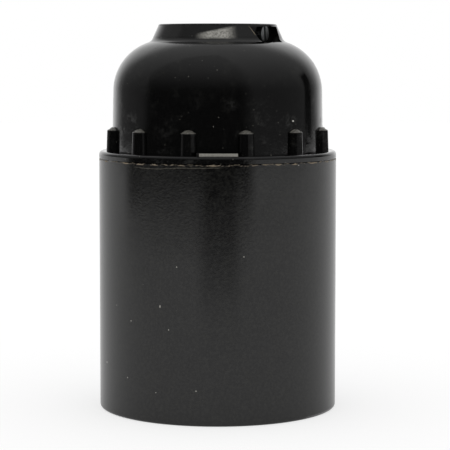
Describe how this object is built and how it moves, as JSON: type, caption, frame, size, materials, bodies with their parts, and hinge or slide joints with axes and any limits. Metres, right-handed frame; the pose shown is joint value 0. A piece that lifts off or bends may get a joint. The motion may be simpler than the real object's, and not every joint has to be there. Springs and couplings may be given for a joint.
{
  "type": "screw lamp holder",
  "caption": "Pendant lamp holder with a ribbed domed cap screwed into a plain round skirt, a porcelain insert, a brass screw shell and a sprung centre contact.",
  "frame": {"origin": "centre of the open rim, on the plane that the rim rests on", "axes": "+Z along the lamp axis from the open rim to the neck; -Y is the front, between two ribs, with the raised gate pad"},
  "size_m": [0.04, 0.04, 0.0646],
  "materials": {
    "phenolic": "moulded black phenolic, glossy on the cap and satin on the skirt",
    "porcelain": "glazed electrical porcelain",
    "brass_shell": "rolled sheet brass, slightly dulled",
    "spring_bronze": "phosphor bronze strip",
    "brass_screw": "turned brass",
    "brass_bush": "turned brass, dulled",
    "steel_screw": "bright zinc plated steel"
  },
  "bodies": {
    "cap": {"cap_dome": "phenolic", "neck_bush": "brass_bush"},
    "insert": {"porcelain_insert": "porcelain", "screw_shell": "brass_shell", "centre_contact": "spring_bronze", "contact_screw": "brass_screw", "shell_screw": "brass_screw", "shell_rivets": "brass_screw", "live_terminal": "brass_bush", "neutral_terminal": "brass_bush"},
    "skirt": {"skirt": "phenolic"},
    "contact_button": {"contact_button": "brass_shell"},
    "lock_screw": {"lock_screw": "steel_screw"},
    "live_washer": {"live_clamp_washer": "steel_screw"},
    "live_screw": {"live_terminal_screw": "brass_screw"},
    "neutral_washer": {"neutral_clamp_washer": "steel_screw"},
    "neutral_screw": {"neutral_terminal_screw": "brass_screw"}
  },
  "joints": [
    {"name": "insert_drop", "type": "slide", "parent": "cap", "child": "insert", "axis": [0, 0, -1], "range_m": [0, 0.0072]},
    {"name": "skirt_turn", "type": "hinge", "parent": "insert", "child": "skirt", "pos_m": [0, 0, 0.035], "axis": [0, 0, -1], "range_deg": [0, 1080.5]},
    {"name": "contact_press", "type": "slide", "parent": "insert", "child": "contact_button", "axis": [0, 0, 1], "range_m": [0, 0.001], "stiffness_N_per_m": 1500, "deforming": ["centre_contact"]},
    {"name": "lock_screw_travel", "type": "slide", "parent": "cap", "child": "lock_screw", "axis": [0.866, -0.5, 0], "range_m": [0, 0.0015]},
    {"name": "live_washer_lift", "type": "slide", "parent": "insert", "child": "live_washer", "axis": [0, 0, 1], "range_m": [0, 0.0018]},
    {"name": "live_screw_turn", "type": "hinge", "parent": "live_washer", "child": "live_screw", "pos_m": [0.0098, 0, 0.038], "axis": [0, 0, 1], "range_deg": [0, 1080.5]},
    {"name": "neutral_washer_lift", "type": "slide", "parent": "insert", "child": "neutral_washer", "axis": [0, 0, 1], "range_m": [0, 0.0018]},
    {"name": "neutral_screw_turn", "type": "hinge", "parent": "neutral_washer", "child": "neutral_screw", "pos_m": [-0.0073, 0, 0.038], "axis": [0, 0, 1], "range_deg": [0, 1080.5]}
  ],
  "couplings": [
    {"joint": "skirt_turn", "follows": "insert_drop", "rad_per_m": 2618},
    {"joint": "live_screw_turn", "follows": "live_washer_lift", "rad_per_m": 10472},
    {"joint": "neutral_screw_turn", "follows": "neutral_washer_lift", "rad_per_m": 10472}
  ]
}
